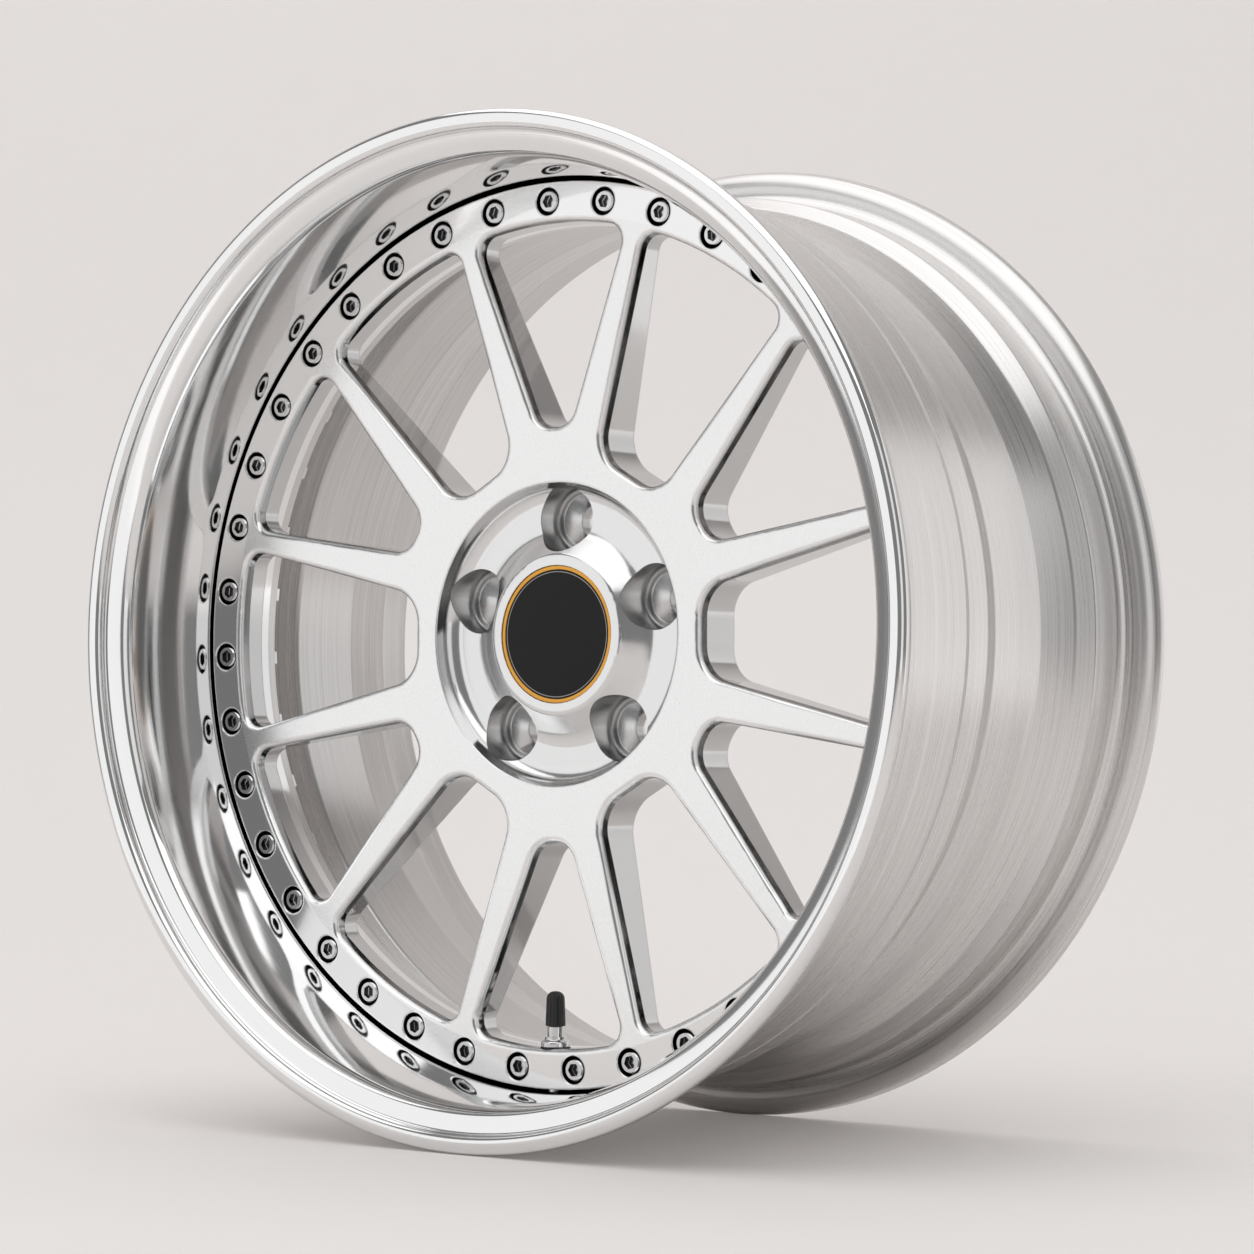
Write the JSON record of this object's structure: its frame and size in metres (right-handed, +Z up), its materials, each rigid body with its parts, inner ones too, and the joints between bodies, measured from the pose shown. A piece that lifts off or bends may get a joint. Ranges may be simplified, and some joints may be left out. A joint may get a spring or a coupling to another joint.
{
  "type": "car wheel",
  "caption": "Three-piece car wheel without its tyre: deep polished lip, turned barrel and a thin-spoked centre bolted together round a ring, with tyre valve and plain centre cap.",
  "frame": {"origin": "centre of the rim: on the wheel's axis, midway between the two flanges' outer faces", "axes": "+Y along the axis from the wheel's face to the car, +Z up with the valve at the bottom, +X to the right seen from the face"},
  "size_m": [0.497, 0.2418, 0.497],
  "materials": {
    "polished_rim": "mirror polished",
    "brushed_barrel": "satin, turned",
    "satin_disc": "fine satin with polished edges",
    "bolt_steel": "bright zinc plated",
    "spring_steel": "bright drawn wire",
    "sealant": "matt cured grey sealant",
    "valve_metal": "bright turned",
    "valve_brass": "turned",
    "black_rubber": "matt",
    "black_plastic": "fine matt",
    "gloss_black": "gloss",
    "gold_trim": "gold anodised"
  },
  "bodies": {
    "wheel": {"outer_lip": "polished_rim", "inner_barrel": "brushed_barrel", "centre_disc": "satin_disc", "rim_seal": "sealant", "assembly_bolts": "bolt_steel", "assembly_washers": "bolt_steel", "assembly_nuts": "bolt_steel", "valve_stem": "valve_metal", "valve_outer_seal": "black_rubber", "valve_inner_seal": "black_rubber", "valve_collar": "valve_metal", "valve_core": "valve_brass", "core_spring": "spring_steel", "valve_cap": "black_plastic", "valve_cap_seal": "black_rubber", "cap_body": "black_plastic", "cap_trim_ring": "gold_trim", "cap_badge": "gloss_black", "cap_spring_ring": "spring_steel"},
    "pin": {"valve_pin": "valve_brass"}
  },
  "joints": [
    {"name": "pin_press", "type": "slide", "parent": "wheel", "child": "pin", "axis": [0, 0, -1], "range_m": [0, 0.0012], "stiffness_N_per_m": 500, "deforming": ["core_spring"]}
  ]
}
